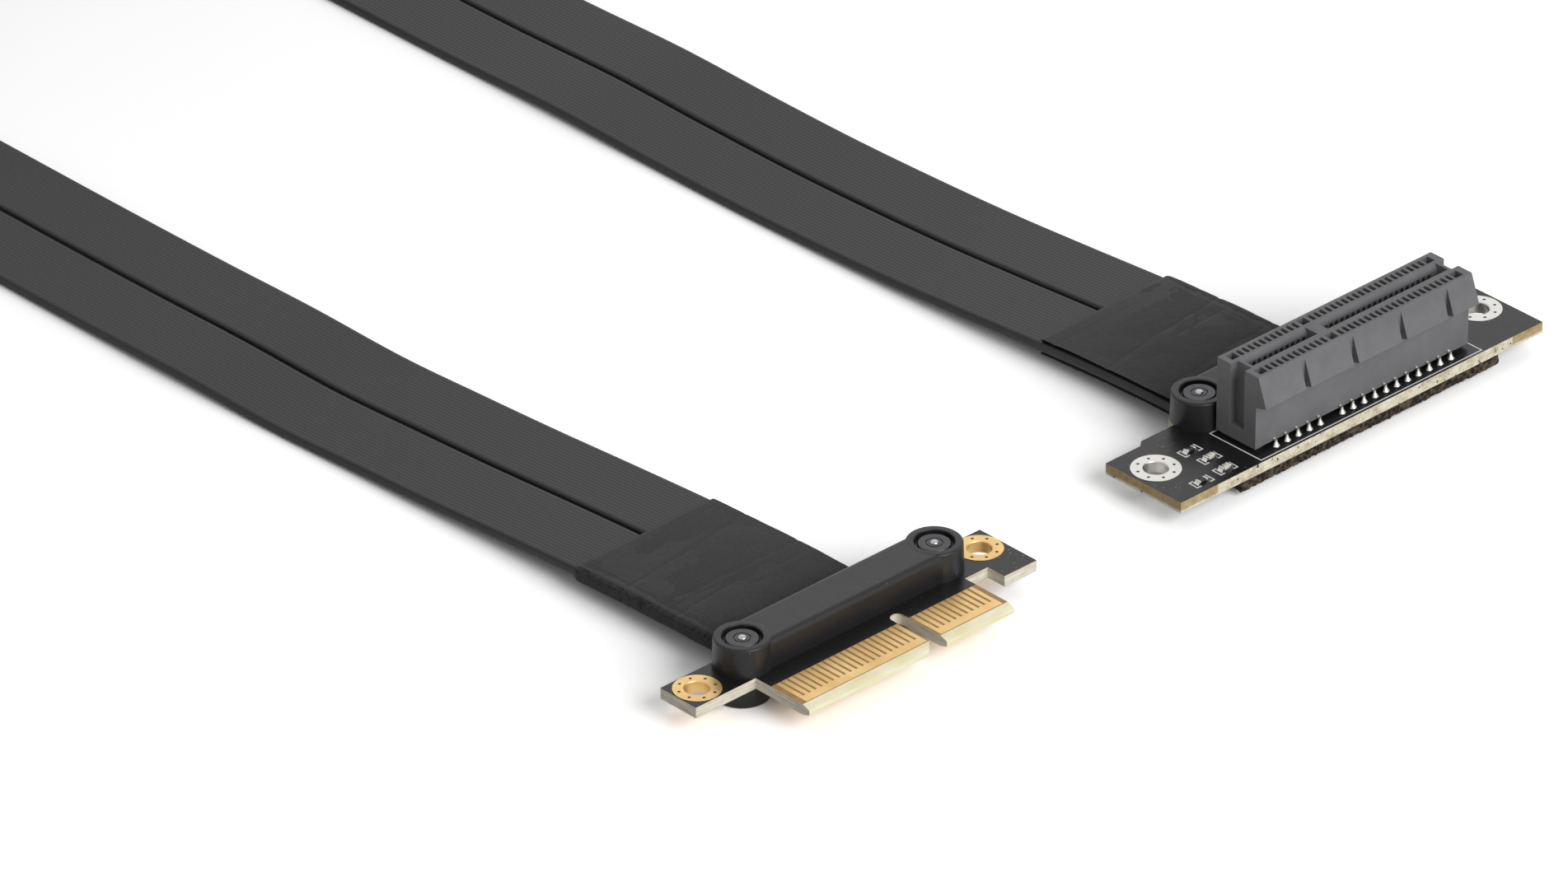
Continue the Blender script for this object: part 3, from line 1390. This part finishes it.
def pocketCutters(settings, top):
    back = slotCorner.x - settings["front"] - settings["width"]
    cutters = []
    for row in settings["rows"]:
        x0 = back + row
        one = bmesh.new()
        half = settings["pocketLength"] / 2
        addBox(one, (x0, -half, top - settings["pocketDepth"]), (x0 + settings["pocketWidth"], half, top + 1))
        pattern = placeMesh("onePocket", toMesh(one, "onePocket"))
        cutters += housingRows("pocketRow", pattern, settings)
        discard(pattern)
        big = bmesh.new()
        ends = [first + (count - 1) * settings["pitch"] for first, count in settings["runs"]]
        keyCentre = (ends[0] + settings["runs"][1][0]) / 2
        bigStep = settings["bigStep"]
        for centre in (settings["runs"][0][0] - bigStep, keyCentre, ends[1] + bigStep):
            y = slotCorner.y + settings["start"] + centre
            low = (x0, y - settings["bigPocket"] / 2, top - settings["pocketDepth"])
            addBox(big, low, (x0 + settings["pocketWidth"], y + settings["bigPocket"] / 2, top + 1))
        cutters.append(placeMesh("bigPockets", toMesh(big, "bigPockets")))
    return cutters


def cellCutters(settings, top):
    # one cell across the slot for each pair of contacts
    gapX = slotCorner.x - settings["front"] - settings["width"] + settings["gapFromBack"]
    half = settings["cellLength"] / 2
    low = (gapX - settings["cellReach"], -half, top - settings["gapDepth"] + settings["cellFloor"])
    high = (gapX + settings["gap"] + settings["cellReach"], half, top - settings["cellTop"])
    one = bmesh.new()
    addBox(one, low, high)
    pattern = placeMesh("oneCell", toMesh(one, "oneCell"))
    cutters = housingRows("cellRow", pattern, settings)
    discard(pattern)
    return cutters


def makeHousing(settings):
    base, top = boardSizes["top"] + settings["raise"], boardSizes["top"] + settings["height"]
    frontX = slotCorner.x - settings["front"]
    back = frontX - settings["width"]
    start = slotCorner.y + settings["start"]
    end = start + settings["length"]
    baseFront = frontX - settings["baseSetback"]
    draft = bmesh.new()
    addBar(draft, [
        (back, base), (baseFront, base), (baseFront, top - settings["ledgeDrop"] - settings["ledgeUndercut"]),
        (frontX + settings["ledgeReach"], top - settings["ledgeDrop"]), (frontX, top), (back, top),
    ], start, end)
    housing = placeMesh("slotHousing", toMesh(draft, "slotHousing"))
    slots = bmesh.new()
    gapX = back + settings["gapFromBack"]
    gapEnd, floor = gapX + settings["gap"], top - settings["gapDepth"]
    mouth = [
        (gapX, floor), (gapEnd, floor), (gapEnd, top - settings["leadFrontDepth"]),
        (gapEnd + settings["leadFront"], top),
        (gapEnd + settings["leadFront"], top + 1), (gapX - settings["leadBack"], top + 1),
        (gapX - settings["leadBack"], top), (gapX, top - settings["leadBackDepth"]),
    ]
    shortStart = start + settings["endWall"]
    longStart = shortStart + settings["shortLength"] + settings["keyLength"]
    mouthEnds = ((shortStart, shortStart + settings["shortLength"]), (longStart, end - settings["endWall"]))
    for y0, y1 in mouthEnds:
        addBar(slots, mouth, y0, y1)
    combine(housing, placeMesh("slotCutter", toMesh(slots, "slotCutter")), "DIFFERENCE")
    recessX = back + settings["recessFromBack"]
    floor = boardSizes["top"] + settings["recessFloor"]
    for y0, y1 in ((start - 1, start + settings["recessDepth"]), (end - settings["recessDepth"], end + 1)):
        recess = bmesh.new()
        addBox(recess, (recessX, y0, floor), (recessX + settings["recessWidth"], y1, top + 1))
        combine(housing, placeMesh("recessCutter", toMesh(recess, "recessCutter")), "DIFFERENCE")
    notches = bmesh.new()
    for place in settings["notches"]:
        y = start + place
        half = settings["notchWidth"] / 2
        low = (frontX + settings["notchFloor"], y - half, base + settings["notchLift"])
        addBox(notches, low, (frontX + settings["notchReach"], y + half, top - settings["notchDrop"]))
    combine(housing, placeMesh("notchCutter", toMesh(notches, "notchCutter")), "DIFFERENCE")
    for cutter in pocketCutters(settings, top) + cellCutters(settings, top):
        combine(housing, cutter, "DIFFERENCE")
    feet = bmesh.new()
    for y0 in (start + settings["footInset"], end - settings["footInset"] - settings["footLength"]):
        low = (back + settings["footInset"], y0, boardSizes["top"])
        footFront, footEnd = baseFront - settings["footInset"], y0 + settings["footLength"]
        addBox(feet, low, (footFront, footEnd, base + settings["footOverlap"]))
    combine(housing, placeMesh("feet", toMesh(feet, "feet")), "UNION")
    housing.data.materials.clear()
    housing.data.materials.append(looks["housing"])
    for face in housing.data.polygons:
        face.material_index = 0
    easeEdges(housing, settings["ease"], 2, 50)
    finishPiece(housing, "housing_plastic", "slot_housing")


makeHousing(housingSettings)

contactSettings = {"width": 0.36, "thickness": 0.14, "length": 6.2, "bulge": 0.3, "topDrop": 1.5, "steps": 8}
tailSettings = {
    "padSink": 0.01, "padRise": 0.03, "coneSteps": 8, "coneFalloff": 2.4,
    "pitch": 2.0, "first": 3.3, "secondRun": 15.3, "shortCount": 5, "longCount": 11, "setback": 2.2,
    "padRadius": 0.55, "coneHeight": 0.9, "pinRadius": 0.18, "reach": 0.45, "steps": 20,
}


def makeContacts(settings):
    top = boardSizes["top"] + housingSettings["height"] - settings["topDrop"]
    back = slotCorner.x - housingSettings["front"] - housingSettings["width"]
    gapX = back + housingSettings["gapFromBack"]
    rows = []
    for wall, side in ((gapX, 1), (gapX + housingSettings["gap"], -1)):
        section = []
        for i in range(settings["steps"] + 1):
            t = i / settings["steps"]
            lean = settings["bulge"] * math.sin(math.pi * t) + 0.04
            section.append((wall + side * lean, top - settings["length"] * t))
        section += [(x - side * settings["thickness"], z) for x, z in section[::-1]]
        one = bmesh.new()
        addBar(one, section, -settings["width"] / 2, settings["width"] / 2)
        pattern = placeMesh("oneContact", toMesh(one, "oneContact"))
        rows += housingRows("contactRow", pattern, housingSettings, "contact")
        discard(pattern)
    contacts = join(*rows)
    contacts.name = "slotContacts"
    smoothShade(contacts, 50)
    finishPiece(contacts, "tin_plating")


def makeTails(settings):
    top = boardSizes["top"]
    x = slotCorner.x - settings["setback"] + settings["reach"]
    one = bmesh.new()
    pad, pin = settings["padRadius"], settings["pinRadius"]
    under, foot = top - settings["padSink"], top + settings["padRise"]
    profile = [(0, under), (pad, under), (pad, foot)]
    for i in range(1, settings["coneSteps"] + 1):
        t = i / settings["coneSteps"]
        radius = pin + (pad - pin) * (1 - t) ** settings["coneFalloff"]
        profile.append((radius, foot + settings["coneHeight"] * t))
    profile.append((0, foot + settings["coneHeight"]))
    addTurned(one, profile, (x, 0), settings["steps"])
    # the bent tail from the housing's underside to the cone
    bend = [
        (x - 1.3, top + 0.95), (x - 0.75, top + 0.95), (x - 0.25, top + 0.8), (x, top + 0.35),
    ]
    width = settings["pinRadius"]
    outer = [(px, pz + width) for px, pz in bend[:-1]] + [(x + width, bend[-1][1])]
    inner = [(px, pz - width) for px, pz in bend[:-1]] + [(x - width, bend[-1][1])]
    addBar(one, outer + inner[::-1], -width, width)
    pattern = placeMesh("oneTail", toMesh(one, "oneTail"))
    rows = []
    groups = ((settings["first"], settings["shortCount"]), (settings["secondRun"], settings["longCount"]))
    for first, count in groups:
        rows.append(grow("tailRow", rowTree, {
            "Pattern": pattern, "Count": count,
            "Start": toMetres(0, slotCorner.y + housingSettings["start"] + first, 0),
            "Step": toMetres(0, settings["pitch"], 0), "Finish": looks["tin"],
        }))
    discard(pattern)
    tails = join(*rows)
    tails.name = "solderTails"
    smoothShade(tails, 50)
    finishPiece(tails, "tin_plating")


makeContacts(contactSettings)
makeTails(tailSettings)
print("stage: slot housing made")

foamSettings = {
    "start": 11.5, "length": 47.4, "setback": 0.5, "width": 8.7, "thickness": 2.0,
    "cell": 0.3, "roughness": 0.16,
}


def makeFoam(settings):
    draft = bmesh.new()
    low = (
        slotCorner.x - settings["setback"] - settings["width"], slotCorner.y + settings["start"],
        boardSizes["bottom"] - settings["thickness"],
    )
    high = (slotCorner.x - settings["setback"], low[1] + settings["length"], boardSizes["bottom"])
    addBox(draft, low, high)
    foam = placeMesh("slotFoam", toMesh(draft, "slotFoam"))
    remesh = foam.modifiers.new("cells", "REMESH")
    remesh.mode = "VOXEL"
    remesh.voxel_size = settings["cell"] * mm
    bake(foam)
    for vertex in foam.data.vertices:
        place = vertex.co / mm
        if place.z > boardSizes["bottom"] - 0.25:
            continue
        push = noise.noise(place * 2.1) + 0.6 * noise.noise(place * 5.3 + Vector((7, 3, 1)))
        vertex.co += vertex.normal * (settings["roughness"] * (push - 0.3) * mm)
    foam.data.materials.append(looks["foam"])
    foam.data.shade_flat()
    finishPiece(foam, "foam", "slot_foam_strip")


makeFoam(foamSettings)

# the wires inside the clamps keep their own shape
for nodeName in ("edge_upper_wires", "edge_lower_wires", "slot_upper_wires", "slot_lower_wires"):
    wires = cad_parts[nodeName]
    wires.data.materials.clear()
    wires.data.materials.append(looks["copper"])

# floor and light

stageSettings = {
    "floorSize": 6.0,
    "floorSeen": 1.56,
    "floorColour": 0.4,
    "skyStrength": 0.34,
    "lamps": (
        {"name": "keyLamp", "place": (0.74, 0.0, 0.44), "size": 0.7, "power": 6.4},
        {"name": "backLamp", "place": (-0.5, 0.6, 0.7), "size": 0.9, "power": 0.8},
    ),
}


def makeFloor(settings):
    draft = bmesh.new()
    half = settings["floorSize"] / 2 / mm
    places = ((-half, -half), (half, -half), (half, half), (-half, half))
    corners = [draft.verts.new((x, y, 0)) for x, y in places]
    draft.faces.new(corners)
    floor = placeMesh("studioFloor", toMesh(draft, "studioFloor"))
    look, tree, shader = startLook("studioFloor", (settings["floorColour"],) * 3, 0.9, specular=0.0)[:3]
    rays = tree.nodes.new("ShaderNodeLightPath")
    seen = calculate(tree, "MAXIMUM", rays.outputs["Is Camera Ray"], rays.outputs["Is Glossy Ray"])
    seen = calculate(tree, "MAXIMUM", seen, rays.outputs["Is Transmission Ray"])
    tone = mixColours(tree, seen, (settings["floorColour"],) * 3, (settings["floorSeen"],) * 3)
    tree.links.new(tone, shader.inputs["Base Color"])
    floor.data.materials.append(look)


def makeSky(settings):
    world = bpy.data.worlds.new("studioSky")
    bpy.context.scene.world = world
    world.use_nodes = True
    tree = world.node_tree
    sky = tree.nodes["Background"]
    sky.inputs["Color"].default_value = (1, 1, 1, 1)
    rays = tree.nodes.new("ShaderNodeLightPath")
    seen = calculate(tree, "MAXIMUM", rays.outputs["Is Camera Ray"], rays.outputs["Is Glossy Ray"])
    seen = calculate(tree, "MAXIMUM", seen, rays.outputs["Is Transmission Ray"])
    tree.links.new(spread(tree, seen, settings["skyStrength"], 1.0), sky.inputs["Strength"])


def makeLamps(settings):
    for lamp in settings["lamps"]:
        data = bpy.data.lights.new(lamp["name"], "AREA")
        data.shape = "DISK"
        data.size = lamp["size"]
        data.energy = lamp["power"]
        light = bpy.data.objects.new(lamp["name"], data)
        bpy.context.scene.collection.objects.link(light)
        light.location = lamp["place"]
        aim = Vector((-0.04, -0.01, 0)) - Vector(lamp["place"])
        light.rotation_mode = "QUATERNION"
        light.rotation_quaternion = aim.to_track_quat("-Z", "Y")


makeFloor(stageSettings)
makeSky(stageSettings)
makeLamps(stageSettings)
bpy.context.scene.view_settings.view_transform = "Standard"
print("stage: floor and light set")
